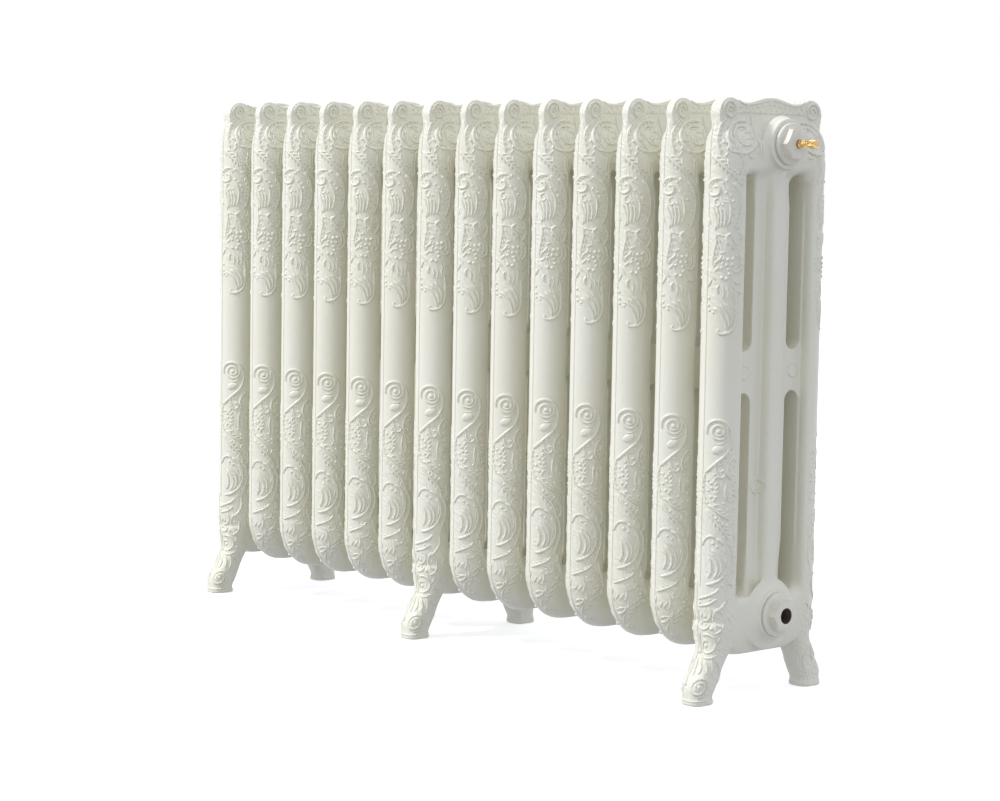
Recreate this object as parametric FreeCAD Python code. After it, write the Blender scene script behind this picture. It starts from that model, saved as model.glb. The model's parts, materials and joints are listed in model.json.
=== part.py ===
import FreeCAD, Part
import math
import os

from FreeCAD import Vector

# Three-column ornate cast iron radiator, fourteen sections screwed together by nipples.
# Frame: X along the row of sections, Y through the depth (front at -Y), Z up, floor at Z = 0.

# the row
section_count = 14
leg_sections = (1, 7, 14)
pitch = 80.0                    # from one section to the next
gasket_thickness = 1.0
hub_reach = (pitch - gasket_thickness) / 2      # section mid-plane to its hub face

# one section
height = 768.0
half_depth = 100.0
plain_half_width = 26.0
leg_half_width = 28.0
plain_crest_half = 6.0          # half thickness of the crest plate
leg_crest_half = 8.5
nose_length = 30.0              # depth of the rounded nose of the front and rear columns
wall = 4.5
belly_bottom = 58.0
belly_start = 130.0             # the nose leaves the vertical here and curves under
shoulder_start = 682.0          # the flanks leave the vertical here and close to the crest
neck_height = 742.0
lobe_radius = 20.0
lobe_y = 75.5
shoulder_slices = 6
belly_slices = 6

# slots and pockets between the columns
fin_half_width = 14.0
lobe_half_depth = 14.0          # the middle column's proud rib
slot_inner_y = 32.5
slot_outer_y = 58.5
column_inner_y = 60.0
lower_slot = (135.0, 394.0)
upper_slot = (448.0, 672.0)
pocket_low = (118.0, 150.0)     # where the pocket's lower ramp starts and ends
pocket_high = (655.0, 692.0)
pad_rise = 1.3
pad_spots = ((45.5, 421.0, 8.3), (-45.5, 421.0, 8.3), (-24.0, 275.0, 9.3))   # Y, Z, radius

# hubs and threads (pipe thread G 1 1/4 in the hubs, G 1/2 in the open bushes)
hub_radius = 32.0
low_hub_z = 110.0
hub_centres = 600.0
high_hub_z = low_hub_z + hub_centres
low_hub_fillet = 11.0
high_hub_fillet = 6.0
hub_bore_radius = 20.95
thread_play = 0.05
nipple_length = 35.0
nipple_inner_radius = 16.5
lug_size = (5.0, 4.0, 12.0)     # depth, width and length of the two lugs a nipple key turns
section_gasket_outer = 29.5
gasket_inner = 21.3

# bushes and plug
shank_length = 16.0
flange_thickness = 5.0
low_flange_radius = 28.5
high_flange_radius = 26.5
hex_across_flats = 37.0
hex_height = 10.5
half_inch_bore_radius = 9.3155
bore_chamfer = 1.0

# air vent in the upper right bush (G 1/8)
vent_bore_radius = 4.283
vent_shank_length = 20.0
washer_thickness = 1.2
vent_collar = (5.3, 2.6)        # radius, length
vent_hex = (9.2, 7.0)           # across flats, length
vent_neck = (3.9, 2.4)
spindle_bore_radius = 2.5
spindle_play = 0.05
seat_radius = 1.1
spindle_ring = (4.3, 1.8)
spindle_neck_radius = 3.1
spindle_gap = 1.0               # body face to the spindle's ring when the vent is shut
spindle_neck_length = 2.2
spindle_head = (5.3, 11.0)
driver_slot = (1.2, 2.0)        # width, depth
o_ring = (2.11, 0.33)           # centre radius, cord radius

# how far the two ends stand out of the last hub faces
hex_face = gasket_thickness + flange_thickness + hex_height
vent_length = (washer_thickness + vent_collar[1] + vent_hex[1] + vent_neck[1] + spindle_gap
               + spindle_ring[1] + spindle_neck_length + spindle_head[1])
right_reach = hex_face + vent_length
left_reach = hex_face
row_middle_x = (left_reach - right_reach) / 2   # keeps the whole object's box centred on X = 0

# legs: height, outer Y, inner Y, half width across X
leg_stations = (
    (0.0, 121.0, 84.0, 16.5),
    (5.0, 121.5, 83.0, 17.0),
    (9.0, 120.5, 83.5, 16.0),
    (18.0, 120.5, 79.5, 16.5),
    (30.0, 115.5, 74.0, 17.0),
    (45.0, 106.0, 68.0, 18.0),
    (60.0, 98.5, 60.0, 20.0),
    (80.0, 95.0, 50.0, 23.5),
    (104.0, 95.0, 46.0, 25.5),
    (126.0, 96.0, 46.0, 24.0),
)
leg_corner = 0.75               # corner radius of the leg's outline against its half width

z_axis = Vector(0, 0, 1)
x_axis = Vector(1, 0, 0)
middle = Vector(0, 0, 0)


def section_x(number):
    return row_middle_x + (number - (section_count + 1) / 2) * pitch


def line(a, b):
    return Part.LineSegment(a, b).toShape()


def arc(a, b, c):
    return Part.Arc(a, b, c).toShape()


def elliptic(start, corner, end):
    # a quarter of an ellipse, tangent to start-corner and to corner-end
    curve = Part.BezierCurve()
    curve.setPoles([start, corner, end])
    curve.setWeight(2, math.sqrt(0.5))
    return curve.toShape()


def ease(start, end, pull):
    # an S-shaped ramp that leaves and arrives along pull
    curve = Part.BezierCurve()
    curve.setPoles([start, start + pull, end - pull, end])
    return curve.toShape()


def face_of(edges):
    return Part.Face(Part.Wire(Part.__sortEdges__(edges)))


def prism(edges, start, direction):
    face = face_of(edges)
    face.translate(start)
    return face.extrude(direction)


def tube_x(radius, start, length, y=0.0, z=0.0):
    return Part.makeCylinder(radius, length, Vector(start, y, z), x_axis)


def turned(points):
    # a solid of revolution about X from (x, radius) corners
    outline = [Vector(x, r, 0) for x, r in points]
    face = Part.Face(Part.makePolygon(outline + outline[:1]))
    return face.revolve(middle, x_axis, 360)


def hex_bar(across_flats, start, length, chamfer):
    corner = across_flats / math.sqrt(3)
    ring = [Vector(start, corner * math.cos(math.radians(60 * k)),
                   corner * math.sin(math.radians(60 * k))) for k in range(7)]
    bar = Part.Face(Part.makePolygon(ring)).extrude(Vector(length, 0, 0))
    end = start + length
    cone = turned([(start, 0), (start, corner + 1), (end - chamfer, corner), (end, corner - 1.8 * chamfer),
                   (end, 0)])
    return bar.common(cone)


def plan_outline(z, half_width, half_length, nose):
    # flat flanks with half-elliptic noses at both ends
    flat = half_length - nose
    w = half_width
    edges = []
    for side in (1, -1):
        edges.append(line(Vector(side * w, -side * flat, z), Vector(side * w, side * flat, z)))
        tip = Vector(0, side * half_length, z)
        edges.append(elliptic(Vector(side * w, side * flat, z), Vector(side * w, side * half_length, z), tip))
        edges.append(elliptic(tip, Vector(-side * w, side * half_length, z), Vector(-side * w, side * flat, z)))
    return Part.Wire(edges)


def shoulder_half_width(z, half_width, crest_half):
    # convex shoulder arc tangent to the flank, then a concave arc tangent to the crest plate
    rise = neck_height - shoulder_start
    inward = half_width - crest_half
    total = (inward ** 2 + rise ** 2) / (2 * inward)
    convex = 0.72 * total
    concave = total - convex
    meet = shoulder_start + convex * rise / total
    if z <= meet:
        return half_width - convex + math.sqrt(convex ** 2 - (z - shoulder_start) ** 2)
    return crest_half + concave - math.sqrt(concave ** 2 - (neck_height - z) ** 2)


def shoulder_half_length(z, inset):
    fall = (z - shoulder_start) / (neck_height - shoulder_start)
    return half_depth - inset - 6.0 * fall ** 2.5


def loaf(half_width, crest_half, inset):
    # the section's closed outer shape with no crest, legs, hubs or slots, drawn in by inset
    w = half_width - inset
    length = half_depth - inset
    nose = nose_length - inset
    under = []
    for k in range(belly_slices + 1):
        turn = math.radians(80.0 * k / belly_slices)
        z = belly_start - (belly_start - belly_bottom - inset) * math.sin(turn)
        reach = length - 54.0 * (1 - math.cos(turn))
        slim = w - 15.0 * (1 - math.cos(turn))
        under.append(plan_outline(z, slim, reach, nose * (0.55 + 0.45 * math.cos(turn))))
    top = []
    last = neck_height - 3.0 * inset
    for k in range(shoulder_slices + 1):
        z = shoulder_start + (last - shoulder_start) * k / shoulder_slices
        slim = shoulder_half_width(z, half_width, crest_half) - inset
        top.append(plan_outline(z, slim, shoulder_half_length(z, inset), nose * (0.45 + 0.55 * slim / w)))
    barrel = Part.Face(plan_outline(belly_start, w, length, nose)).extrude(
        Vector(0, 0, shoulder_start - belly_start))
    return barrel.fuse([Part.makeLoft(under, True), Part.makeLoft(top, True)])


def crest(crest_half):
    # the scalloped plate that stands on the shoulders
    lobe_z = height - 1.0 - lobe_radius
    lobe = []
    for angle in (112.0, 47.0, -18.0):
        a = math.radians(angle)
        lobe.append(Vector(0, lobe_y + lobe_radius * math.cos(a), lobe_z + lobe_radius * math.sin(a)))
    wave = Part.BSplineCurve()
    wave.interpolate([Vector(0, 0, height), Vector(0, 42.0, height - 7.0), lobe[0]],
                     InitialTangent=Vector(0, 26.0, 0), FinalTangent=Vector(0, 20.0, 8.0))
    root = shoulder_start + 20.0
    half = [wave.toShape(), arc(*lobe), line(lobe[2], Vector(0, 88.0, root))]
    mirrored = [edge.mirror(middle, Vector(0, 1, 0)) for edge in half]
    floor = line(Vector(0, 88.0, root), Vector(0, -88.0, root))
    return prism(half + mirrored + [floor], Vector(-crest_half, 0, 0), Vector(2 * crest_half, 0, 0))


def pocket(side, end, grow, half_width):
    # the hollow between the middle rib and an outer column, on one flank
    floor = fin_half_width - grow
    edge = half_width + 1.7         # the rounded edges run out just past the flank
    lip = edge + 4.0
    rib = lobe_half_depth - grow
    column = column_inner_y + grow
    soft = 8.0
    plan = [elliptic(Vector(floor, rib, 0), Vector(edge, rib, 0), Vector(edge, rib - soft, 0)),
            line(Vector(edge, rib - soft, 0), Vector(lip, rib - soft, 0)),
            line(Vector(lip, rib - soft, 0), Vector(lip, column + soft, 0)),
            line(Vector(lip, column + soft, 0), Vector(edge, column + soft, 0)),
            elliptic(Vector(edge, column + soft, 0), Vector(edge, column, 0), Vector(floor, column, 0)),
            line(Vector(floor, column, 0), Vector(floor, rib, 0))]
    post = prism(plan, middle, Vector(0, 0, height))
    z0, z1 = pocket_low[0] - grow, pocket_low[1] - grow
    z2, z3 = pocket_high[0] + grow, pocket_high[1] + grow
    up = [ease(Vector(edge, 0, z0), Vector(floor, 0, z1), Vector(0, 0, (z1 - z0) * 0.55)),
          line(Vector(floor, 0, z1), Vector(floor, 0, z2)),
          ease(Vector(floor, 0, z2), Vector(edge, 0, z3), Vector(0, 0, (z3 - z2) * 0.55)),
          line(Vector(edge, 0, z3), Vector(lip, 0, z3)),
          line(Vector(lip, 0, z3), Vector(lip, 0, z0)),
          line(Vector(lip, 0, z0), Vector(edge, 0, z0))]
    cutter = post.common(prism(up, middle, Vector(0, half_depth, 0)))
    if side < 0:
        cutter = cutter.mirror(middle, x_axis)
    if end < 0:
        cutter = cutter.mirror(middle, Vector(0, 1, 0))
    return cutter


def slot(span, end, grow):
    # a through slot with round ends
    y0, y1 = slot_inner_y - grow, slot_outer_y + grow
    z0, z1 = span[0] - grow, span[1] + grow
    r = (y1 - y0) / 2
    mid = (y0 + y1) / 2
    edges = [line(Vector(0, y0, z0 + r), Vector(0, y0, z1 - r)),
             arc(Vector(0, y0, z1 - r), Vector(0, mid, z1), Vector(0, y1, z1 - r)),
             line(Vector(0, y1, z1 - r), Vector(0, y1, z0 + r)),
             arc(Vector(0, y1, z0 + r), Vector(0, mid, z0), Vector(0, y0, z0 + r))]
    cutter = prism(edges, Vector(-pitch / 2, 0, 0), Vector(pitch, 0, 0))
    return cutter if end > 0 else cutter.mirror(middle, Vector(0, 1, 0))


def openings(grow, half_width):
    cutters = [pocket(side, end, grow, half_width) for side in (1, -1) for end in (1, -1)]
    cutters += [slot(span, end, grow) for span in (lower_slot, upper_slot) for end in (1, -1)]
    return cutters


def hub(z, fillet, half_width):
    # a round boss through the section, with a concave fillet where it leaves each flank
    foot = half_width - 2.0
    knee = min(foot + fillet, hub_reach - 1.0)
    boss = tube_x(hub_radius, -hub_reach, 2 * hub_reach)
    root = hub_radius + fillet
    profile = [line(Vector(foot, 0, 0), Vector(foot, root, 0)),
               elliptic(Vector(foot, root, 0), Vector(foot, hub_radius, 0), Vector(knee, hub_radius, 0)),
               line(Vector(knee, hub_radius, 0), Vector(knee, 0, 0)),
               line(Vector(knee, 0, 0), Vector(foot, 0, 0))]
    skirt = face_of(profile).revolve(middle, x_axis, 360)
    boss = boss.fuse([skirt, skirt.mirror(middle, x_axis)])
    boss.translate(Vector(0, 0, z))
    return boss


def water_way(half_width, crest_half):
    # the hollow inside: the loaf drawn in by the wall, less the walled slots and pockets
    hollow = loaf(half_width, crest_half, wall).cut(openings(wall, half_width))
    ceiling = Part.makeBox(200, 300, 100, Vector(-100, -150, high_hub_z + 12.0))
    hollow = hollow.cut(ceiling)
    bores = [tube_x(hub_bore_radius, -hub_reach - 1, 2 * hub_reach + 2, 0, z) for z in (low_hub_z, high_hub_z)]
    return hollow.fuse(bores)


def leg_outline(z, outer, inner, half_width):
    r = leg_corner * half_width
    x0, x1 = -half_width, half_width
    p = [Vector(x0 + r, inner, z), Vector(x1 - r, inner, z), Vector(x1, inner + r, z), Vector(x1, outer - r, z),
         Vector(x1 - r, outer, z), Vector(x0 + r, outer, z), Vector(x0, outer - r, z), Vector(x0, inner + r, z)]
    corner = [Vector(x1, inner, z), Vector(x1, outer, z), Vector(x0, outer, z), Vector(x0, inner, z)]
    edges = []
    for k in range(4):
        edges.append(line(p[2 * k], p[2 * k + 1]))
        edges.append(elliptic(p[2 * k + 1], corner[k], p[(2 * k + 2) % 8]))
    return Part.Wire(edges)


def leg(end):
    body = Part.makeLoft([leg_outline(*station) for station in leg_stations], True)
    return body if end > 0 else body.mirror(middle, Vector(0, 1, 0))


def pads():
    # round moulding pads on both faces of the webs and low on the front fin
    reach = fin_half_width + pad_rise
    return [tube_x(radius, -reach, 2 * reach, y, z) for y, z, radius in pad_spots]


def section(with_legs):
    half_width = leg_half_width if with_legs else plain_half_width
    crest_half = leg_crest_half if with_legs else plain_crest_half
    outer = loaf(half_width, crest_half, 0.0).cut(openings(0.0, half_width))
    extras = [crest(crest_half), hub(low_hub_z, low_hub_fillet, half_width),
              hub(high_hub_z, high_hub_fillet, half_width)]
    extras += pads()
    if with_legs:
        extras += [leg(1), leg(-1)]
    return outer.fuse(extras).cut(water_way(half_width, crest_half)).removeSplitter()


def ring_x(outer, inner, start, length):
    return tube_x(outer, start, length).cut(tube_x(inner, start - 1, length + 2))


def nipple():
    # barrel nipple, threaded one way at each end, with two lugs for the key
    barrel = ring_x(hub_bore_radius - thread_play, nipple_inner_radius, -nipple_length / 2, nipple_length)
    depth, width, length = lug_size
    lugs = []
    for side in (1, -1):
        low = nipple_inner_radius - depth + 1.0        # sunk 1 mm into the barrel's wall
        lug = Part.makeBox(length, width, depth, Vector(-length / 2, -width / 2, low))
        lugs.append(lug if side > 0 else lug.mirror(middle, z_axis))
    return barrel.fuse(lugs).removeSplitter()


def bush(flange_radius, bore_radius):
    # hexagon bush standing on the hub face at x = 0, its gasket under the flange
    start = gasket_thickness
    end = start + flange_thickness
    flange = turned([(start, 0), (start, flange_radius), (end - 1.4, flange_radius),
                     (end, flange_radius - 1.4), (end, 0)])
    shank = tube_x(hub_bore_radius - thread_play, -shank_length, shank_length + start)
    body = flange.fuse([shank, hex_bar(hex_across_flats, end, hex_height, 1.0)]).removeSplitter()
    if bore_radius:
        top = end + hex_height
        mouth = bore_radius + bore_chamfer
        body = body.cut(tube_x(bore_radius, -shank_length - 1, shank_length + top + 2))
        body = body.cut(turned([(top - bore_chamfer, 0), (top - bore_chamfer, bore_radius), (top, mouth),
                                (top + 1, mouth), (top + 1, 0)]))
    return body


def bush_gasket(flange_radius):
    return ring_x(flange_radius - 0.8, gasket_inner, 0.0, gasket_thickness)


# the vent's pieces are built along +X from the face of its bush's hexagon at x = 0
vent_collar_start = washer_thickness
vent_hex_start = vent_collar_start + vent_collar[1]
vent_neck_start = vent_hex_start + vent_hex[1]
vent_face = vent_neck_start + vent_neck[1]
ring_start = vent_face + spindle_gap
head_start = ring_start + spindle_ring[1] + spindle_neck_length
seat_x = -6.0
o_ring_x = vent_hex_start + 4.0


def vent_body():
    shank = tube_x(vent_bore_radius - thread_play, -vent_shank_length, vent_shank_length + washer_thickness)
    body = shank.fuse([tube_x(vent_collar[0], vent_collar_start, vent_collar[1]),
                       hex_bar(vent_hex[0], vent_hex_start, vent_hex[1], 0.5),
                       tube_x(vent_neck[0], vent_neck_start, vent_neck[1])]).removeSplitter()
    cone = spindle_bore_radius - seat_radius
    passage = turned([(-vent_shank_length - 1, 0), (-vent_shank_length - 1, seat_radius), (seat_x, seat_radius),
                      (seat_x + cone, spindle_bore_radius), (vent_face + 1, spindle_bore_radius),
                      (vent_face + 1, 0)])
    outlet = Part.makeCylinder(0.8, vent_hex[0], Vector(vent_hex_start + 1.6, 0, 0), Vector(0, 0, -1))
    return body.cut([passage, outlet])


def vent_spindle():
    # one turned piece: conical tip, stem with an O-ring groove, ring, neck and knurled head
    stem = spindle_bore_radius - spindle_play
    groove = o_ring[0] - o_ring[1] - 0.05
    half_groove = o_ring[1] + 0.12
    head_end = head_start + spindle_head[1]
    head = spindle_head[0]
    body = turned([(seat_x + 0.4, 0), (seat_x + 0.4, seat_radius), (seat_x + 2.2, stem),
                   (o_ring_x - half_groove, stem), (o_ring_x - half_groove, groove),
                   (o_ring_x + half_groove, groove), (o_ring_x + half_groove, stem),
                   (ring_start, stem), (ring_start, spindle_ring[0]),
                   (ring_start + spindle_ring[1], spindle_ring[0]),
                   (ring_start + spindle_ring[1], spindle_neck_radius), (head_start, spindle_neck_radius),
                   (head_start, head - 0.5), (head_start + 0.5, head), (head_end - 0.7, head),
                   (head_end, head - 0.7), (head_end, 0)])
    width, depth = driver_slot
    cut = Part.makeBox(depth + 1, 2 * head + 2, width, Vector(head_end - depth, -head - 1, -width / 2))
    return body.cut(cut)


def vent_o_ring():
    return Part.makeTorus(o_ring[0], o_ring[1], Vector(o_ring_x, 0, 0), x_axis)


def vent_washer():
    return ring_x(5.6, vent_bore_radius + 0.1, 0.0, washer_thickness)


def moved(shape, x, z, facing=1):
    copy = shape.copy()
    if facing < 0:
        copy.rotate(middle, z_axis, 180)
    copy.translate(Vector(x, 0, z))
    return copy


def save(name, shape):
    shape.exportStep("parts/" + name + ".step")


def build():
    os.makedirs("parts", exist_ok=True)
    plain = section(False)
    legged = section(True)
    for number in range(1, section_count + 1):
        base = legged if number in leg_sections else plain
        save("section_%02d" % number, moved(base, section_x(number), 0))
    barrel = nipple()
    rows = (("upper", high_hub_z), ("lower", low_hub_z))
    for row, z in rows:
        washers = []
        for number in range(1, section_count):
            x = section_x(number) + pitch / 2
            save("nipple_%s_%02d" % (row, number), moved(barrel, x, z))
            washers.append(moved(ring_x(section_gasket_outer, gasket_inner, -gasket_thickness / 2,
                                        gasket_thickness), x, z))
        save("section_gaskets_" + row, Part.makeCompound(washers))
    right = section_x(section_count) + hub_reach
    left = section_x(1) - hub_reach
    fittings = (("lower_right_bush", low_flange_radius, half_inch_bore_radius, right, low_hub_z, 1),
                ("lower_left_bush", low_flange_radius, half_inch_bore_radius, left, low_hub_z, -1),
                ("vent_bush", high_flange_radius, vent_bore_radius, right, high_hub_z, 1),
                ("blank_plug", high_flange_radius, 0.0, left, high_hub_z, -1))
    for name, flange, bore, x, z, facing in fittings:
        save(name, moved(bush(flange, bore), x, z, facing))
        save(name + "_gasket", moved(bush_gasket(flange), x, z, facing))
    vent_x = right + hex_face
    for name, piece in (("vent_body", vent_body()), ("vent_spindle", vent_spindle()),
                        ("vent_o_ring", vent_o_ring()), ("vent_washer", vent_washer())):
        save(name, moved(piece, vent_x, high_hub_z))


build()
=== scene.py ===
import json
import math
import bmesh
import bpy
from mathutils import Matrix, Vector
from mathutils.bvhtree import BVHTree

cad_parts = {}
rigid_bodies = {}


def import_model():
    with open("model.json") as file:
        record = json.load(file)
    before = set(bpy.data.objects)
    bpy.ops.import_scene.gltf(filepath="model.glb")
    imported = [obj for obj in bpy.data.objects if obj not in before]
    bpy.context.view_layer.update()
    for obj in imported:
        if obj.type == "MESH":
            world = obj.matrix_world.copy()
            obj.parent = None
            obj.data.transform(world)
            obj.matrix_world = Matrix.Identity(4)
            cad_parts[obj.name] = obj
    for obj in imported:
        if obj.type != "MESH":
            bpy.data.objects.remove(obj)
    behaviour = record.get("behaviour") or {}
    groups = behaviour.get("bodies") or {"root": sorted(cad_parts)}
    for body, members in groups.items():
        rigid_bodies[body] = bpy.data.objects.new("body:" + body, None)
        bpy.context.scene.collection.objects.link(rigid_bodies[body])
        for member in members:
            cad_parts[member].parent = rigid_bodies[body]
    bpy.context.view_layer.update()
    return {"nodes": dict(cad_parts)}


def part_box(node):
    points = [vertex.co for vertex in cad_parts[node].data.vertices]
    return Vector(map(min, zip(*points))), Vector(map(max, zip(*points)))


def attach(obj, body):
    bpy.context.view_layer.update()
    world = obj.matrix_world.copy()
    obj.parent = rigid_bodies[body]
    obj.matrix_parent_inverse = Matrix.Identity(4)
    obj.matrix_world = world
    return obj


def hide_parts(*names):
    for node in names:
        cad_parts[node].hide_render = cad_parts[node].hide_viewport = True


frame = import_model()
mm = 0.001
print("frame loaded:", len(frame["nodes"]), "nodes")


# selecting, entering edit mode and applying modifiers

def pickOnly(piece):
    bpy.ops.object.select_all(action="DESELECT")
    piece.select_set(True)
    bpy.context.view_layer.objects.active = piece


def editFaces(piece, mode="FACE"):
    pickOnly(piece)
    bpy.ops.object.mode_set(mode="EDIT")
    bpy.ops.mesh.select_mode(type=mode)
    bpy.ops.mesh.select_all(action="DESELECT")
    return bmesh.from_edit_mesh(piece.data)


def backToObject(piece):
    bmesh.update_edit_mesh(piece.data)
    bpy.ops.object.mode_set(mode="OBJECT")


def newPiece(name, mesh):
    piece = bpy.data.objects.new(name, mesh)
    bpy.context.scene.collection.objects.link(piece)
    return piece


def joinAll(first, others):
    pickOnly(first)
    for other in others:
        other.select_set(True)
    bpy.ops.object.join()
    return first


def finishWith(piece, kind, **values):
    pickOnly(piece)
    step = piece.modifiers.new(kind.lower(), kind)
    for key, value in values.items():
        setattr(step, key, value)
    bpy.ops.object.modifier_apply(modifier=step.name)


def pickNothing():
    bpy.ops.object.select_all(action="DESELECT")


def cutWith(piece, tool, operation="DIFFERENCE"):
    finishWith(piece, "BOOLEAN", object=tool, operation=operation, solver="EXACT")
    bpy.data.objects.remove(tool)


def spinProfile(name, profile, steps=96):
    mesh = bpy.data.meshes.new(name)
    points = [(x * mm, 0, r * mm) for x, r in profile]
    mesh.from_pydata(points, [(i, i + 1) for i in range(len(points) - 1)], [])
    piece = newPiece(name, mesh)
    editFaces(piece, "VERT")
    bpy.ops.mesh.select_all(action="SELECT")
    bpy.ops.mesh.spin(steps=steps, angle=2 * math.pi, center=(0, 0, 0), axis=(1, 0, 0))
    backToObject(piece)
    fixNormals(piece)
    return piece


def fixNormals(piece):
    editFaces(piece, "VERT")
    bpy.ops.mesh.select_all(action="SELECT")
    bpy.ops.mesh.remove_doubles(threshold=0.000004)
    bpy.ops.mesh.normals_make_consistent(inside=False)
    backToObject(piece)


def roundBar(vertices, radius, depth, place, turn=(0, math.pi / 2, 0)):
    # a bar along X, or along Z when turn is zero; sizes in millimetres
    pickNothing()
    bpy.ops.mesh.primitive_cylinder_add(vertices=vertices, radius=radius * mm, depth=depth * mm,
                                        location=[value * mm for value in place], rotation=turn)
    bpy.ops.object.transform_apply(location=True, rotation=True, scale=True)
    return bpy.context.view_layer.objects.active


# shader maths: an expression on sockets adds its own nodes

class Wire:
    def __init__(self, finish, socket):
        self.finish = finish
        self.socket = socket

    def join(self, operation, first, second):
        return self.finish.node("Math", {"operation": operation}, {0: first, 1: second})

    def __add__(self, other):
        return self.join("ADD", self, other)

    def __sub__(self, other):
        return self.join("SUBTRACT", self, other)

    def __rsub__(self, other):
        return self.join("SUBTRACT", other, self)

    def __mul__(self, other):
        return self.join("MULTIPLY", self, other)

    __radd__ = __add__
    __rmul__ = __mul__


class Finish:
    def __init__(self, name, **plain):
        self.material = bpy.data.materials.new(name)
        self.material.use_nodes = True
        self.tree = self.material.node_tree
        self.shader = self.tree.nodes["Principled BSDF"]
        for key, value in plain.items():
            self.shader.inputs[key.replace("_", " ")].default_value = value
        self.place = self.node("TexCoord", out="Object")

    def node(self, kind, settings=None, inputs=None, out=0):
        made = self.tree.nodes.new("ShaderNode" + kind)
        for key, value in (settings or {}).items():
            if key == "stops":
                ramp = made.color_ramp
                for stop, (at, tone) in zip((ramp.elements[0], ramp.elements[1]), value):
                    stop.position = at
                    stop.color = (tone, tone, tone, 1)
            else:
                setattr(made, key, value)
        for key, value in (inputs or {}).items():
            if isinstance(value, Wire):
                self.tree.links.new(value.socket, made.inputs[key])
            else:
                made.inputs[key].default_value = value
        return Wire(self, made.outputs[out])

    def noise(self, scale, detail=2.0, roughness=0.5):
        return self.node("TexNoise", None, {"Vector": self.place, "Scale": scale, "Detail": detail,
                                            "Roughness": roughness})

    def ramp(self, value, low, high):
        return self.node("ValToRGB", {"stops": ((low, 0.0), (high, 1.0))}, {"Fac": value})

    def blend(self, amount, first, second):
        return self.node("Mix", {"data_type": "RGBA"}, {0: amount, 6: first, 7: second}, 2)

    def bump(self, height, depth, strength=1.0, normal=None):
        values = {"Height": height, "Distance": depth, "Strength": strength}
        if normal:
            values["Normal"] = normal
        return self.node("Bump", None, values)

    def feed(self, **links):
        for key, value in links.items():
            self.tree.links.new(value.socket, self.shader.inputs[key.replace("_", " ")])


def ivoryEnamel():
    # satin ivory paint brushed over sand-cast iron: fine grain, slow waves and uneven gloss
    look = {"ivory": (0.80, 0.785, 0.665, 1), "warm": (0.775, 0.755, 0.62, 1),
            "sandGrain": 700.0, "sandDepth": 0.00022, "waves": 110.0, "waveDepth": 0.0005,
            "leafLines": 58.0, "leafCurl": 11.0, "leafDepth": 0.00042, "satin": 0.40, "satinSpread": 0.14,
            "upperField": (0.476, 0.500), "lowerField": (0.290, 0.312), "noses": (0.060, 0.070),
            "header": (0.690, 0.700), "hubEdge": (0.036, 0.050), "patches": 7.0, "glossPatches": 160.0,
            "coat": 0.15}
    paint = Finish("ivoryEnamel", IOR=1.5, Coat_Roughness=0.25)
    patch = paint.ramp(paint.noise(look["patches"], 3.0), 0.35, 0.7)
    colour = paint.blend(patch, look["ivory"], look["warm"])
    grain = paint.noise(look["sandGrain"], 3.0, 0.6)
    wave = paint.noise(look["waves"], 2.0)
    across = paint.node("Math", {"operation": "ABSOLUTE"},
                        {0: paint.node("SeparateXYZ", None, {0: paint.place}, 1)})
    level = paint.node("SeparateXYZ", None, {0: paint.place}, 2)
    # fine curled lines between the modelled leaves, on the two ornament fields and the header only
    fields = paint.ramp(level, *look["upperField"]) + (1 - paint.ramp(level, *look["lowerField"]))
    noses = paint.ramp(across, *look["noses"])
    header = paint.ramp(level, *look["header"]) * paint.ramp(across, *look["hubEdge"])
    where = fields * (noses + header * (1 - noses))
    curls = paint.node("TexWave", {"bands_direction": "DIAGONAL"},
                       {"Vector": paint.place, "Scale": look["leafLines"], "Distortion": look["leafCurl"],
                        "Detail": 1.0, "Detail Scale": 1.1}, 1)
    relief = paint.bump(curls * where, look["leafDepth"])
    relief = paint.bump(wave, look["waveDepth"], 1.0, relief)
    relief = paint.bump(grain, look["sandDepth"], 1.0, relief)
    gloss = paint.noise(look["glossPatches"], 2.0) * look["satinSpread"]
    gloss = gloss + (look["satin"] - 0.5 * look["satinSpread"])
    paint.feed(Base_Color=colour, Roughness=gloss, Normal=relief)
    paint.shader.inputs["Coat Weight"].default_value = look["coat"]
    return paint.material


def fittingEnamel():
    # the same ivory on turned fittings: smoother and glossier, worn in small patches
    look = {"ivory": (0.78, 0.758, 0.65, 1), "worn": (0.71, 0.68, 0.565, 1), "grain": 900.0, "depth": 0.00008,
            "patches": 60.0, "gloss": 0.3, "glossSpread": 0.12, "coat": 0.2}
    paint = Finish("fittingEnamel", IOR=1.5, Coat_Roughness=0.2)
    patch = paint.ramp(paint.noise(look["patches"], 4.0, 0.6), 0.45, 0.75)
    paint.feed(Base_Color=paint.blend(patch, look["ivory"], look["worn"]),
               Roughness=paint.noise(200.0) * look["glossSpread"] + look["gloss"],
               Normal=paint.bump(paint.noise(look["grain"], 2.0), look["depth"]))
    paint.shader.inputs["Coat Weight"].default_value = look["coat"]
    return paint.material


def ventBrass():
    look = {"bright": (0.80, 0.56, 0.26, 1), "aged": (0.42, 0.27, 0.11, 1), "toolMarks": 2600.0,
            "toolDepth": 0.00002, "polish": 0.24, "ageDull": 0.25}
    brass = Finish("ventBrass", Metallic=1.0)
    age = brass.ramp(brass.noise(260.0, 4.0, 0.6), 0.45, 0.8)
    turning = brass.node("TexWave", {"wave_type": "RINGS", "rings_direction": "X"},
                         {"Vector": brass.place, "Scale": look["toolMarks"], "Distortion": 1.0})
    brass.feed(Base_Color=brass.blend(age, look["bright"], look["aged"]),
               Roughness=age * look["ageDull"] + look["polish"],
               Normal=brass.bump(turning, look["toolDepth"], 0.4))
    return brass.material


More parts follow.
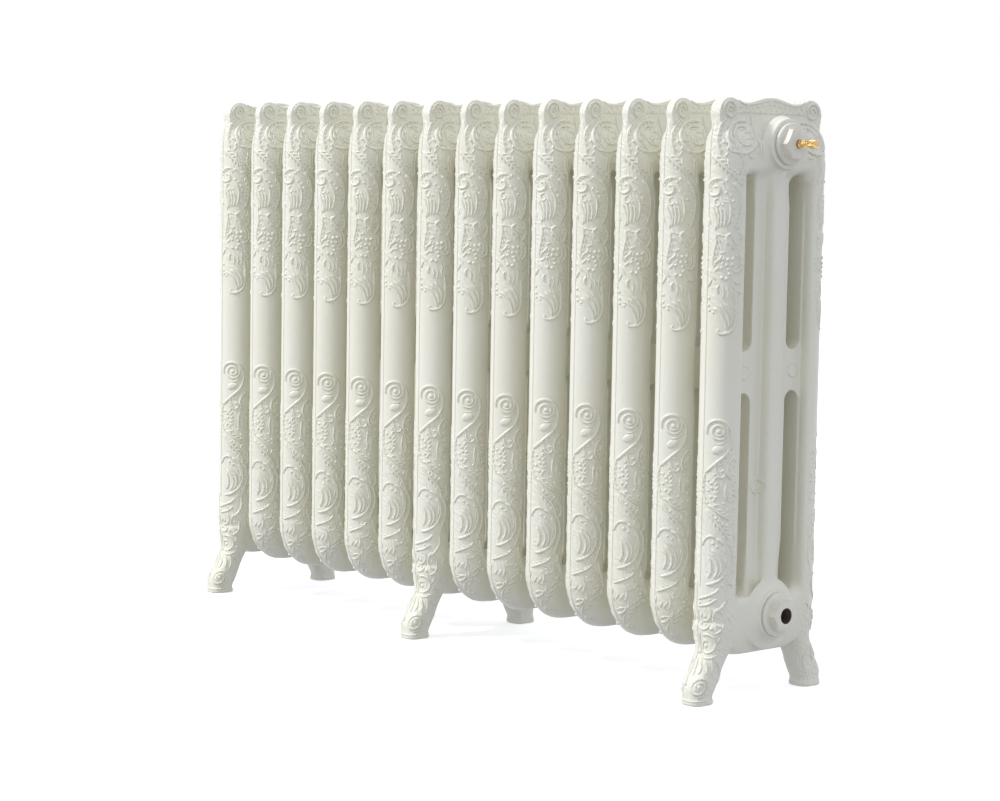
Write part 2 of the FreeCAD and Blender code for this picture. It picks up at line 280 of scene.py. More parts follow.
def plainMaterial(name, light, dark, roughness, scale, depth, metallic=0.0):
    stuff = Finish(name, Metallic=metallic)
    patch = stuff.noise(scale, 4.0, 0.6)
    stuff.feed(Base_Color=stuff.blend(patch, light, dark), Roughness=patch * 0.2 + (roughness - 0.1),
               Normal=stuff.bump(patch, depth))
    return stuff.material


finishes = {
    "ivory": ivoryEnamel(),
    "fitting": fittingEnamel(),
    "brass": ventBrass(),
    # name, light and dark patches, roughness, patches per metre, their depth in metres, metallic
    "iron": plainMaterial("nippleIron", (0.20, 0.19, 0.18, 1), (0.09, 0.085, 0.08, 1),
                          0.55, 500.0, 0.0002, 0.7),
    "gasket": plainMaterial("gasketRubber", (0.50, 0.47, 0.39, 1), (0.36, 0.33, 0.26, 1), 0.7, 700.0, 0.0001),
    "oRing": plainMaterial("oRingRubber", (0.025, 0.025, 0.025, 1), (0.012, 0.012, 0.012, 1),
                           0.5, 900.0, 0.00003),
    "fibre": plainMaterial("washerFibre", (0.33, 0.17, 0.09, 1), (0.20, 0.10, 0.05, 1), 0.75, 900.0, 0.00005),
    "rust": plainMaterial("bareIron", (0.11, 0.065, 0.04, 1), (0.045, 0.03, 0.022, 1),
                          0.7, 420.0, 0.0004, 0.3),
    "floor": plainMaterial("paleFloor", (0.90, 0.90, 0.90, 1), (0.87, 0.87, 0.87, 1), 0.7, 3.0, 0.0),
}
print("materials made:", len(finishes))


# the cast section without its ornament

casting = {"halfWidth": {"plain": 26.0, "legged": 28.0}, "noseCentre": -70.0, "noseLength": 30.0,
           "hubReach": 39.5, "lowHub": 110.0, "highHub": 710.0, "boreRadius": 20.6, "boreDepth": 46.0,
           "baseVoxel": 1.4, "edgeSmoothing": 4, "softSmoothing": 110,
           "skirts": {"lowHub": 16.0, "highHub": 6.0}, "skirtLength": 11.5, "hubRadius": 32.0,
           "skirtGap": 0.6, "skirtSink": 0.3, "skirtRoot": 3.0,
           "plainFaces": 28000, "leggedFaces": 38000}


def sectionMiddle(number):
    low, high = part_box(f"section_{number:02d}")
    return (low.x + high.x) / 2


def emptyCasting(number):
    # a merged copy of the section's outer skin, centred on X = 0, with its hub ends filled in
    mesh = frame["nodes"][f"section_{number:02d}"].data.copy()
    mesh.transform(Matrix.Translation((-sectionMiddle(number), 0, 0)))
    piece = newPiece("castingDraft", mesh)
    work = editFaces(piece, "VERT")
    bpy.ops.mesh.select_all(action="SELECT")
    bpy.ops.mesh.remove_doubles(threshold=0.00001)
    bpy.ops.mesh.select_mode(type="FACE")
    bpy.ops.mesh.select_all(action="DESELECT")
    face = (casting["hubReach"] - 0.05) * mm
    for part in work.faces:
        part.select = abs(part.calc_center_median().x) > face and abs(part.normal.x) > 0.99
    work.select_flush_mode()
    bmesh.update_edit_mesh(piece.data)
    bpy.ops.mesh.delete(type="FACE")
    bpy.ops.mesh.select_mode(type="VERT")
    outermost = max(work.verts, key=lambda v: abs(v.co.y))
    outermost.select = True
    bmesh.update_edit_mesh(piece.data)
    bpy.ops.mesh.select_linked()
    bpy.ops.mesh.select_all(action="INVERT")
    bpy.ops.mesh.delete(type="VERT")
    bpy.ops.mesh.select_all(action="DESELECT")
    bpy.ops.mesh.select_non_manifold()
    bpy.ops.mesh.fill_holes(sides=0)
    backToObject(piece)
    fixNormals(piece)
    return piece


def openBore(piece, side):
    # the end section's lower hub stays open, so the bush shows a dark water way
    depth = casting["boreDepth"]
    start = side * (casting["hubReach"] - depth / 2 + 1)
    cutWith(piece, roundBar(64, casting["boreRadius"], depth + 2, (start, 0, casting["lowHub"])))


def hubSkirt(row):
    # the hollow curve that carries each hub out of both flanks
    spread = casting["skirts"][row]
    length = casting["skirtLength"]
    face = casting["hubReach"] - casting["skirtGap"]
    root = face - length - casting["skirtRoot"]
    neck = casting["hubRadius"] - casting["skirtSink"]
    quarter = [math.radians(15 * i) for i in range(7)]
    curve = [(face - length * math.cos(a), neck + spread * (1 - math.sin(a))) for a in quarter]
    half = [(root, 0), (root, neck + spread)] + curve + [(face, 0)]
    skirts = [spinProfile("skirt", [(side * x, r) for x, r in half]) for side in (1, -1)]
    for skirt in skirts:
        skirt.data.transform(Matrix.Translation((0, 0, casting[row] * mm)))
    return skirts


def fade(value, start, end):
    return min(1.0, max(0.0, (value - start) / (end - start)))


# where smoothing fades in or out, in millimetres from the middle, from a hub's centre or from the floor
softening = {"noseOut": (63, 69), "noseBottom": (118, 150), "noseTop": (655, 690),
             "panelOut": (58, 70), "hubRim": (32.5, 36), "panelBottom": (70, 84), "panelTop": (746, 752),
             "lowPanel": (160, 200), "highPanel": (630, 665)}


def softWeight(spot):
    # noses and the sunk panels are smoothed most, crest edges, feet and hub rims least
    y, z = abs(spot.y) / mm, spot.z / mm
    soft = softening
    nose = fade(y, *soft["noseOut"]) * fade(z, *soft["noseBottom"]) * (1 - fade(z, *soft["noseTop"]))
    rim = min(math.hypot(y, z - casting[row]) for row in ("lowHub", "highHub"))
    panel = (1 - fade(y, *soft["panelOut"])) * fade(rim, *soft["hubRim"])
    panel = panel * fade(z, *soft["panelBottom"]) * (1 - fade(z, *soft["panelTop"]))
    ends = max(1 - fade(z, *soft["lowPanel"]), fade(z, *soft["highPanel"]))
    return max(nose, panel * ends)


def soften(piece, rule, passes):
    group = piece.vertex_groups.new(name="soft")
    for point in piece.data.vertices:
        weight = rule(point.co)
        if weight > 0.01:
            group.add([point.index], weight, "REPLACE")
    finishWith(piece, "SMOOTH", factor=0.5, iterations=passes, vertex_group="soft")
    piece.vertex_groups.clear()


def smoothCasting(number, openSide=0):
    base = joinAll(emptyCasting(number), hubSkirt("lowHub") + hubSkirt("highHub"))
    finishWith(base, "REMESH", mode="VOXEL", voxel_size=casting["baseVoxel"] * mm)
    if openSide:
        openBore(base, openSide)
    finishWith(base, "SMOOTH", factor=0.5, iterations=casting["edgeSmoothing"])
    soften(base, softWeight, casting["softSmoothing"])
    return base


# ornament: every strand is a route of (distance round the nose, height) in millimetres,
# given with its width and how far it stands proud

upperScrolls = [
    (3.6, 1.3, [(10, 741), (3, 732), (0.5, 720), (1.5, 708), (6, 695)]),
    (3.6, 1.4, [(36, 733), (27, 730), (19, 723), (16, 715), (17, 706), (21, 700), (27, 699)]),
    (3.4, 1.3, [(46, 731), (36, 728), (29, 721), (26.5, 713), (28, 705), (32, 700)]),
    (2.6, 1.0, [(11, 692), (15, 697), (17, 700)]),
    (2.8, 1.1, [(15.5, 690), (16, 684), (19, 678), (24, 673)]),
    (4.2, 1.5, [(-7, 695), (2, 688), (10, 681), (18, 674), (26, 668), (33, 661), (36, 657)]),
    (3.0, 1.2, [(37, 697), (34, 685), (33, 675), (36, 664)]),
    (3.4, 1.3, [(44, 697), (39, 690), (37, 680), (37, 670), (38, 660), (35, 656)]),
    (5.2, 1.7, [(22, 660), (29, 655), (35.5, 641), (36, 627), (33.5, 613), (28, 602.5)]),
    (3.8, 1.5, [(8, 665), (0, 665), (-8, 660), (-10, 652), (-5, 645), (2, 645), (6, 650), (3, 656),
                (-1, 654)]),
    (3.2, 1.3, [(15, 641), (19.5, 634), (20.5, 625), (19, 614), (16, 607)]),
    (3.0, 1.2, [(12, 628), (14, 620), (13.5, 612), (12, 606)]),
    (3.0, 1.2, [(7, 632), (9, 622), (9, 613), (8, 605)]),
    (3.0, 1.2, [(2, 630), (5, 620), (5, 611), (4, 603)]),
    (3.0, 1.2, [(-5, 632), (0, 622), (3, 612), (1, 601)]),
    (2.8, 1.2, [(5, 641), (0, 639), (0, 633), (4, 631), (7, 635)]),
    (4.5, 1.3, [(-10, 618), (-6, 608)]),
    (4.6, 1.6, [(22, 598), (15.5, 592), (21, 585), (27, 577)]),
    (2.6, 1.2, [(24, 592), (29, 583)]),
    (3.4, 1.3, [(33, 600), (38, 592), (37, 583), (31, 574)]),
    (3.6, 1.4, [(1, 597), (3, 588), (1, 577), (-1, 566), (-1, 557)]),
    (2.6, 1.1, [(3, 594), (6, 596), (10, 594)]),
    (3.0, 1.1, [(8, 572), (15, 575)]),
    (4.0, 1.5, [(33, 573), (37, 567), (38, 559), (35, 552), (29, 548)]),
    (2.8, 1.2, [(28, 571), (32, 566), (32, 558), (28, 553)]),
    (3.2, 1.3, [(0, 555), (3, 561), (9, 566), (10, 570)]),
    (2.8, 1.1, [(1, 549), (5, 553), (8, 556)]),
    (3.2, 1.3, [(-8, 552), (-2, 545), (3, 539)]),
    (3.2, 1.3, [(-2, 540), (-8, 530)]),
    (2.8, 1.1, [(25, 537), (26, 531), (28, 526)]),
    (2.6, 1.1, [(28, 538), (31, 535), (35, 536), (36, 532)]),
    (2.6, 1.1, [(31, 526), (34, 525), (37, 523), (35, 520)]),
    (3.6, 1.4, [(8, 533), (5, 528), (7, 522)]),
    (2.6, 0.8, [(12, 531), (14, 524), (13, 516)]),
    (2.6, 0.8, [(18, 530), (20, 523), (18, 515)]),
    (2.6, 0.9, [(24, 529), (25.5, 522), (24, 515)]),
    (4.2, 1.6, [(29, 522), (31, 512), (31.5, 500), (31, 489), (28, 480), (21, 473.5), (14, 471.5)]),
    (3.6, 1.4, [(14, 510), (20, 506), (24.5, 497), (25.5, 488), (23, 480)]),
    (3.6, 1.4, [(7, 508), (14, 503), (19.5, 494), (21.5, 485), (20, 478)]),
    (3.4, 1.3, [(0, 504), (7, 501), (13, 493), (17, 484), (19, 476)]),
    (3.2, 1.4, [(19, 476), (16, 472), (10, 472), (7, 475), (9, 478)]),
]
lowerScrolls = [
    (4.2, 1.6, [(-3, 345), (-4, 352), (0, 359), (8, 363), (17, 362), (24, 357), (29, 348), (30, 338),
                (27, 328), (21, 319), (12, 311), (3, 303), (-5, 296)]),
    (2.4, 1.0, [(25, 345), (22, 337), (15, 333), (8, 333)]),
    (4.2, 1.5, [(36, 317), (29, 313), (25, 305), (24.5, 298), (27, 292), (31, 289)]),
    (2.8, 1.3, [(9, 304), (11, 296), (14, 291), (19, 291), (22, 296), (19, 300), (16, 298)]),
    (2.6, 1.1, [(10, 307), (15, 307), (20, 308)]),
    (2.4, 1.0, [(5, 304), (8, 298), (10, 291)]),
    (2.8, 1.2, [(24, 287), (23, 279), (22, 270), (24, 260)]),
    (3.6, 1.4, [(-5, 296), (-8, 285), (-8, 272), (-5, 262), (0, 255)]),
    (3.8, 1.5, [(0, 256), (8, 252), (14, 246), (22, 241), (29, 237)]),
    (3.8, 1.5, [(-2, 250), (6, 240), (13, 232), (21, 224), (27, 215), (31, 208)]),
    (3.0, 1.3, [(37, 221), (39, 212), (36, 204), (30, 205), (29, 212), (33, 216)]),
    (2.6, 1.1, [(24, 226), (28, 234)]),
    (2.6, 1.1, [(31, 231), (37, 234)]),
    (3.4, 1.3, [(-7, 203), (-4, 210), (1, 215), (7, 216), (12, 213)]),
    (4.2, 1.6, [(12, 213), (20, 209), (26, 200), (29, 190), (29, 180), (25, 169), (18, 161), (9, 156),
                (0, 154)]),
    (3.6, 1.4, [(31, 204), (35, 198), (37, 188), (37, 178), (34, 168), (30, 159), (28, 152)]),
    (2.4, 1.0, [(22, 202), (26, 193), (26, 184), (24, 176)]),
    (3.2, 1.3, [(6, 200), (14, 192), (19, 183), (19, 172), (14, 163)]),
    (3.2, 1.3, [(4, 195), (10, 188), (14, 180), (14, 170), (10, 162)]),
    (3.2, 1.3, [(2, 190), (6, 183), (6.5, 172), (3, 163)]),
    (3.4, 1.2, [(30, 156), (34, 155), (37, 152)]),
]
bellyScrolls = [
    (3.8, 1.5, [(24, 151), (20, 145), (12, 140.5), (3, 137), (-5, 134)]),
    (4.0, 1.5, [(33, 152), (35, 143), (39, 133), (43, 124), (45, 115)]),
    (2.8, 1.2, [(26, 138), (27, 131), (22, 127), (17, 129)]),
    (3.0, 1.2, [(10, 131), (14, 124), (13, 115), (10, 110)]),
    (2.8, 1.1, [(3, 121), (-1, 113)]),
    (2.8, 1.1, [(10, 121), (4, 112)]),
    (3.0, 1.2, [(-6, 128), (-8, 118), (-4, 110)]),
    (3.4, 1.4, [(-3, 93), (6, 94), (12, 99), (13, 103)]),
    (2.6, 1.1, [(-2, 98), (5, 101), (12, 101)]),
    (3.0, 1.2, [(17, 111), (17, 98)]),
    (3.6, 1.4, [(23, 106), (29, 112), (38, 116), (41, 111)]),
    (3.4, 1.3, [(20, 98), (27, 103), (34, 108), (36, 106)]),
    (3.2, 1.3, [(18, 92), (25, 97), (32, 101)]),
    (3.0, 1.2, [(15, 85), (20, 90), (27, 93)]),
    (3.0, 1.2, [(7, 79), (9, 88), (13, 95)]),
]
# beads are (distance, height, radius)
upperBeads = [(9.5, 711, 2.4), (49, 727, 2.2), (56, 730, 2.0), (36, 712, 2.4), (46, 710, 2.2),
              (6, 665, 2.0), (14.5, 663, 2.2), (10, 660, 1.8), (14, 648, 1.8), (20, 644, 1.9),
              (24, 638, 2.0), (25, 630, 2.0), (24.5, 622, 1.9), (22, 612, 1.8), (10, 633, 1.6),
              (10, 627, 1.6), (34.5, 592, 2.2), (31, 585, 2.0), (19, 565, 2.6), (25.5, 566, 2.6),
              (17, 558, 2.6), (24.5, 559, 2.8), (20, 553, 2.6), (28, 550, 2.2), (11, 542, 2.4),
              (17.5, 541, 2.4), (21, 547, 2.4), (-6, 516, 2.2), (-6, 507, 2.2), (-5, 501, 2.0),
              (1, 498, 1.8)]
lowerBeads = [(12.5, 349, 3.2), (37, 312.5, 2.2), (34, 305, 2.0), (29, 301, 1.8), (32, 294, 1.8),
              (36, 286, 2.0), (36, 276, 2.0), (35, 262, 2.2),
              (0, 287, 2.0), (4, 283, 2.2), (8, 287, 2.0), (0, 274, 2.0), (5, 277, 2.2), (9, 272, 2.0),
              (4, 266, 2.2), (8, 262, 2.0),
              (5, 243, 1.8), (11, 239, 2.0), (15, 236, 1.8), (20, 232, 1.8),
              (36, 252, 2.2), (27, 250, 2.0), (21, 258, 2.0), (14, 203, 2.0), (8, 207, 2.0), (21, 153, 2.0)]
bellyBeads = [(17, 132, 1.8), (23, 137, 2.0), (30, 127, 2.4), (34, 119.5, 2.8), (41, 110, 3.2),
              (18, 76, 3.0), (28, 75, 2.6)]
# eggs are (distance, height, half length, half width, tilt in degrees)
eggs = [(12, 326, 8.5, 5.5, 25), (29, 267, 9.0, 3.5, 90), (17, 104.5, 6.5, 2.2, 90),
        (34.5, 660, 3.4, 2.2, 60)]
volute = {"centre": (12.5, 349), "outerRadius": 12.5, "innerRadius": 4.5, "turns": 1.6, "wide": 3.4,
          "proud": 1.4, "start": 60}
relief = {"routeStep": 2.1, "tipSize": 0.4, "tipLength": 4.0, "beadSink": 0.35,
          "slimmer": 1.14, "height": 1.3, "tallest": 1.3, "beadSize": 1.15, "eggHeight": 0.45, "eggSink": 0.1,
          "seamPlace": -9.0, "seamWide": 2.0, "seamProud": 0.8, "hiddenHeight": 0.6,
          "flankWide": 1.4, "flankBoost": 1.5,
          "barbLength": 1.3, "barbWide": 3.3, "barbProud": 1.3, "barbBend": 0.5, "shift": 7.0}


def roundNose(distance, halfWidth):
    # where a point that far round the nose's plan lies, and which way it faces
    length = casting["noseLength"]
    middle = casting["noseCentre"]
    sign = 1 if distance >= 0 else -1
    left = abs(distance)
    angle = 0.0
    while left > 0 and angle < math.pi / 2:
        step = math.radians(0.5)
        left -= step * math.hypot(halfWidth * math.cos(angle), length * math.sin(angle))
        angle += step
    if angle < math.pi / 2:
        way = Vector((sign * halfWidth * math.sin(angle), -length * math.cos(angle), 0)).normalized()
        return Vector((0, middle, 0)), way
    return Vector((0, middle + left, 0)), Vector((sign, 0, 0))


def smoothRoute(points):
    # a Catmull-Rom line through the points, in short even steps
    ends = [tuple(2 * a - b for a, b in zip(points[0], points[1]))]
    tail = [tuple(2 * a - b for a, b in zip(points[-1], points[-2]))]
    knots = ends + list(points) + tail
    route = []
    for p0, p1, p2, p3 in zip(knots, knots[1:], knots[2:], knots[3:]):
        count = max(2, round(math.dist(p1, p2) / relief["routeStep"]))
        for i in range(count):
            t = i / count
            route.append(tuple(0.5 * (2 * b + (c - a) * t + (2 * a - 5 * b + 4 * c - d) * t * t
                                      + (3 * b - a - 3 * c + d) * t ** 3)
                               for a, b, c, d in zip(p0, p1, p2, p3)))
    return route + [tuple(points[-1])]


def spiralRoute(centre, outer, inner, turns, start=0.0, hand=1):
    count = int(turns * 12)
    route = []
    for i in range(count + 1):
        part = i / count
        radius = outer + (inner - outer) * part
        angle = math.radians(start) + hand * part * turns * 2 * math.pi
        route.append((centre[0] + radius * math.cos(angle), centre[1] + radius * math.sin(angle)))
    return route


class Modeller:
    # lays strands, beads and eggs on a casting; each surface is a way of turning two numbers into a hit
    def __init__(self, base, halfWidth):
        graph = bpy.context.evaluated_depsgraph_get()
        self.tree = BVHTree.FromObject(base, graph)
        self.halfWidth = halfWidth
        self.strands = bpy.data.curves.new("strands", "CURVE")
        self.strands.dimensions = "3D"
        self.strands.bevel_depth = 1.0
        self.strands.bevel_resolution = 1
        self.strands.use_fill_caps = True
        self.drops = bmesh.new()

    def cast(self, start, way):
        place, normal, index, distance = self.tree.ray_cast(start, way)
        return (place, normal) if place else None

    def onNose(self, rear=False):
        turn = -1 if rear else 1

        def hit(u, z):
            spine, way = roundNose(u + relief["shift"], self.halfWidth)
            start = (spine + way * 120) * mm
            start = Vector((start.x * turn, start.y * turn, z * mm))
            return self.cast(start, Vector((-way.x * turn, -way.y * turn, 0)))
        return hit

    def onFlank(self, side, rear=False):
        turn = -1 if rear else 1

        def hit(y, z):
            return self.cast(Vector((side * 0.12, y * turn * mm, z * mm)), Vector((-side, 0, 0)))
        return hit

    def strand(self, hit, wide, proud, points, smooth=True):
        route = smoothRoute(points) if smooth else points
        found = [hit(*point) for point in route]
        found = [item for item in found if item]
        if len(found) < 3:
            return
        radius = wide * relief["slimmer"] / 2
        proud = min(proud * relief["height"], radius * relief["tallest"])
        gone = 0.0
        lengths = []
        for here, before in zip(found, found[:1] + found):
            gone += (here[0] - before[0]).length / mm
            lengths.append(gone)
        line = self.strands.splines.new("POLY")
        line.points.add(len(found) - 1)
        for knot, (place, normal), gone in zip(line.points, found, lengths):
            near = min(gone, lengths[-1] - gone) / relief["tipLength"]
            size = relief["tipSize"] + (1 - relief["tipSize"]) * min(1, math.sqrt(max(near, 0)))
            sunk = place - normal * (radius - proud) * size * mm
            knot.co = (*sunk, 1)
            knot.radius = radius * size * mm

    def bead(self, hit, u, z, radius):
        found = hit(u, z)
        radius = radius * relief["beadSize"]
        if found:
            place = found[0] - found[1] * radius * relief["beadSink"] * mm
            bmesh.ops.create_icosphere(self.drops, subdivisions=2, radius=radius * mm,
                                       matrix=Matrix.Translation(place))

    def egg(self, hit, u, z, long, short, tilt):
        found = hit(u, z)
        above = hit(u, z + 1)
        if not found or not above:
            return
        normal = found[1].normalized()
        up = (above[0] - found[0]).normalized()
        along = up.cross(normal).normalized()
        turn = math.radians(tilt)
        first = along * math.cos(turn) + up * math.sin(turn)
        second = normal.cross(first).normalized()
        tall = relief["eggHeight"] * short
        shape = Matrix((first * long * mm, second * short * mm, normal * tall * mm)).transposed().to_4x4()
        shape.translation = found[0] - normal * relief["eggSink"] * short * mm
        bmesh.ops.create_icosphere(self.drops, subdivisions=3, radius=1.0, matrix=shape)

    def addTo(self, base):
        lines = newPiece("strands", self.strands)
        pickOnly(lines)
        bpy.ops.object.convert(target="MESH")
        lines = bpy.context.view_layer.objects.active
        mesh = bpy.data.meshes.new("drops")
        self.drops.to_mesh(mesh)
        self.drops.free()
        return joinAll(base, [lines, newPiece("drops", mesh)])


def mirrored(rows):
    # the outer edge of the pattern, which comes back on the nose's other side
    return [(wide, proud * relief["hiddenHeight"], [(-u - 2 * relief["shift"], z) for u, z in points])
            for wide, proud, points in rows if min(u for u, z in points) > 5]


def barbs(points, length, every, lean, skip=5.0):
    # short leaf strokes that spring from one side of a strand; a negative length is the other side
    route = smoothRoute(points)
    strokes = []
    gone = -skip
    total = sum(math.dist(a, b) for a, b in zip(route, route[1:])) - 2 * skip
    nextOne = 0.0
    for a, b in zip(route, route[1:]):
        gone += math.dist(a, b)
        if gone < nextOne or gone > total:
            continue
        nextOne = gone + every
        heading = math.atan2(b[1] - a[1], b[0] - a[0]) + math.copysign(math.radians(lean), length)
        reach = abs(length) * relief["barbLength"]
        middle = (b[0] + 0.55 * reach * math.cos(heading), b[1] + 0.55 * reach * math.sin(heading))
        bend = heading - math.copysign(relief["barbBend"], length)
        tip = (middle[0] + 0.5 * reach * math.cos(bend), middle[1] + 0.5 * reach * math.sin(bend))
        strokes.append((relief["barbWide"], relief["barbProud"], [b, middle, tip]))
    return strokes


# each row: the route that carries the barbs, their length, spacing and lean in degrees
upperBarbs = [
    (upperScrolls[8][2], -6.0, 5.5, 50),
    (upperScrolls[5][2][:6], 6.5, 6.0, 60),
    (upperScrolls[5][2][:6], -5.5, 6.0, 50),
    (upperScrolls[0][2], 5.0, 6.0, 45),
    (upperScrolls[1][2][:6], -5.5, 5.5, 50),
    (upperScrolls[7][2][:5], 5.0, 6.0, 55),
    (upperScrolls[9][2][:5], 4.5, 5.0, 70),
    (upperScrolls[23][2], 4.5, 5.0, 60),
    (upperScrolls[20][2], 6.0, 6.5, 50),
    (upperScrolls[17][2], -4.5, 5.5, 60),
    (upperScrolls[36][2][:5], -4.5, 7.0, 40),
    ([(11, 574), (14, 566), (13, 556), (9, 548)], -4.5, 5.0, 50),
]
lowerBarbs = [
    (lowerScrolls[0][2][7:12], 5.0, 6.0, 50),
    (lowerScrolls[7][2], 4.6, 6.5, 45),
    (lowerScrolls[8][2], 6.0, 5.5, 60),
    (lowerScrolls[9][2][1:5], 6.0, 5.5, 50),
    (lowerScrolls[9][2][1:5], -5.5, 6.0, 50),
    ([(31, 289), (32, 278), (33, 266), (31, 254)], 4.5, 5.5, 55),
    ([(12, 304), (12, 292), (14, 280), (14, 268), (10, 258)], -5.5, 5.0, 55),
    (lowerScrolls[14][2][:7], -4.5, 6.5, 40),
    (lowerScrolls[15][2][:5], 4.5, 5.5, 55),
]
bellyBarbs = [
    (bellyScrolls[0][2], -5.0, 5.5, 55),
    (bellyScrolls[1][2], -4.5, 5.5, 50),
    (bellyScrolls[3][2], 4.5, 5.0, 55),
    (bellyScrolls[7][2][:3], 4.0, 5.0, 55),
]


def dressNose(model, legged, rear):
    hit = model.onNose(rear)
    seam = [(relief["seamPlace"], z) for z in range(150 if legged else 76, 742, 12)]
    model.strand(hit, relief["seamWide"], relief["seamProud"], seam)
    scrolls = upperScrolls + lowerScrolls + ([] if legged else bellyScrolls)
    leaves = []
    for points, length, every, lean in upperBarbs + lowerBarbs + ([] if legged else bellyBarbs):
        leaves = leaves + barbs(points, length, every, lean)
    for wide, proud, points in scrolls + mirrored(scrolls):
        model.strand(hit, wide, proud, points)
    for wide, proud, points in leaves + mirrored(leaves):
        model.strand(hit, wide, proud, points, smooth=False)
    beads = upperBeads + lowerBeads + ([] if legged else bellyBeads)
    for u, z, radius in beads + [(-u - 2 * relief["shift"], z, radius) for u, z, radius in beads if u > 14]:
        model.bead(hit, u, z, radius)
    for u, z, long, short, tilt in eggs:
        if z > 130 or not legged:
            model.egg(hit, u, z, long, short, tilt)
    route = spiralRoute(volute["centre"], volute["outerRadius"], volute["innerRadius"], volute["turns"],
                        volute["start"], -1)
    model.strand(hit, volute["wide"], volute["proud"], route, smooth=False)


# header ornament on each flank: (distance from the middle, height)
flankScrolls = [
    (2.6, 1.2, [(-38.5, 744), (-38, 730), (-38, 712), (-38.5, 692)]),
    (3.4, 1.3, [(-48, 737), (-62, 738), (-76, 733), (-86, 722), (-88, 711), (-84, 702)]),
    (2.8, 1.2, [(-52, 730), (-64, 731), (-74, 726), (-80, 718)]),
    (3.2, 1.2, [(-85, 700), (-72, 697), (-60, 699), (-49, 704), (-41, 712)]),
    (2.4, 1.0, [(-58, 735), (-64, 738), (-69, 735), (-66, 731), (-62, 733)]),
    (2.4, 1.0, [(-44, 727), (-47, 720), (-45, 713)]),
    (2.6, 1.1, [(-80, 726), (-84, 716), (-81, 709)]),
    (2.4, 1.0, [(-50, 711), (-56, 708), (-63, 707), (-70, 710)]),
    (2.4, 1.0, [(-70, 727), (-75, 723), (-77, 718)]),
    (2.2, 0.9, [(-56, 727), (-61, 728), (-65, 726)]),
    (2.2, 0.9, [(-50, 722), (-54, 724), (-58, 722)]),
    (2.2, 0.9, [(-78, 700), (-74, 694), (-68, 692)]),
    (2.2, 0.9, [(-62, 696), (-56, 692), (-50, 694)]),
]
flankBeads = [(-73, 715, 2.2), (-63, 714, 2.4), (-52, 716, 2.2), (-80, 708, 2.0), (-70, 706, 2.0),
              (-62, 702, 2.0), (-73, 719, 1.6), (-63, 718.5, 1.7), (-67.5, 715, 1.6), (-57.5, 716, 1.6),
              (-43, 735, 2.0)]
crest = {"scroll": (-77, 751), "scrollBead": 2.6, "beads": 6, "firstBead": -57, "spacing": 10.5,
         "beadHeight": 755.5, "smallHeight": 750, "rise": 4.5, "bigBead": 2.3, "smallBead": 1.5,
         "edge": [(-62, 763.5), (-52, 759), (-40, 758.5), (-28, 760), (-14, 763), (0, 765)]}


def dressHeader(model):
    for side in (1, -1):
        for rear in (False, True):
            hit = model.onFlank(side, rear)
            for wide, proud, points in flankScrolls:
                model.strand(hit, wide * relief["flankWide"], proud * relief["flankBoost"], points)
            for y, z, radius in flankBeads:
                model.bead(hit, y, z, radius)
            model.strand(hit, 3.6, 1.6, spiralRoute(crest["scroll"], 13, 4, 1.6, 200, -1), smooth=False)
            model.bead(hit, *crest["scroll"], crest["scrollBead"])
            for step in range(crest["beads"]):
                middle = crest["firstBead"] + crest["spacing"] * step
                rise = crest["rise"] * fade(middle, -30, 0)
                model.bead(hit, middle, crest["beadHeight"] + rise, crest["bigBead"])
                model.bead(hit, middle + 5.2, crest["smallHeight"] + rise, crest["smallBead"])
                model.strand(hit, 2.2, 1.0, [(middle - 5.2, 747), (middle, 749), (middle + 5.2, 747)])
            model.strand(hit, 2.2, 0.9, crest["edge"])


# leg ornament: (distance round the leg's front, height)
legScrolls = [
    (3.6, 1.4, [(24, 151), (20, 145), (12, 140.5), (3, 137), (-5, 134)]),
    (3.6, 1.4, [(31, 152), (33, 142), (31, 132), (26, 124), (20, 119)]),
    (3.2, 1.3, [(21, 136), (13, 130), (4, 127), (-5, 125)]),
    (3.2, 1.3, [(24, 125), (19, 118), (18, 110), (22, 103), (28, 100)]),
    (3.0, 1.2, [(12, 126), (15, 118), (12, 110), (5, 107), (0, 111), (3, 117)]),
    (2.8, 1.1, [(-4, 122), (-6, 115), (-4, 108)]),
    (3.2, 1.3, [(30, 112), (30, 103), (26, 95), (20, 91)]),
    (3.0, 1.2, [(14, 104), (10, 98), (2, 96), (-4, 99)]),
    (3.0, 1.2, [(27, 92), (26, 84), (22, 77)]),
    (3.2, 1.3, [(1, 88), (10, 90), (18, 87), (22, 79), (19, 70), (11, 66), (3, 69), (1, 77), (6, 82),
                (12, 80)]),
    (2.8, 1.1, [(-4, 92), (-5, 82), (-3, 72), (0, 64)]),
    (3.0, 1.2, [(2, 63), (9, 60), (18, 60), (26, 64)]),
    (3.0, 1.2, [(-3, 60), (-2, 52), (-1, 45), (0, 38)]),
    (3.0, 1.2, [(4, 58), (8, 50), (9, 44), (7, 39)]),
    (3.0, 1.2, [(11, 58), (16, 51), (18, 45), (17, 40)]),
    (3.0, 1.2, [(19, 59), (24, 52), (26, 44), (25, 36)]),
    (2.4, 1.0, [(-12, 7), (0, 6.5), (12, 6.5), (24, 7), (34, 7)]),
]
legBeads = [(8, 75, 2.8), (-1, 103, 2.4), (8, 103, 2.2), (16, 98, 2.4), (6, 113, 2.2), (24, 112, 2.0),
            (27, 119, 2.2), (-2, 130, 2.0), (13, 135, 1.8), (14, 25, 3.4), (27, 72, 2.2), (-5, 66, 2.0)]
leg = {"middle": 78, "ankle": 70, "lean": 0.36, "round": 22.0, "seamPlace": -8, "footScroll": (14, 24),
       "heelScroll": (-106, 26)}


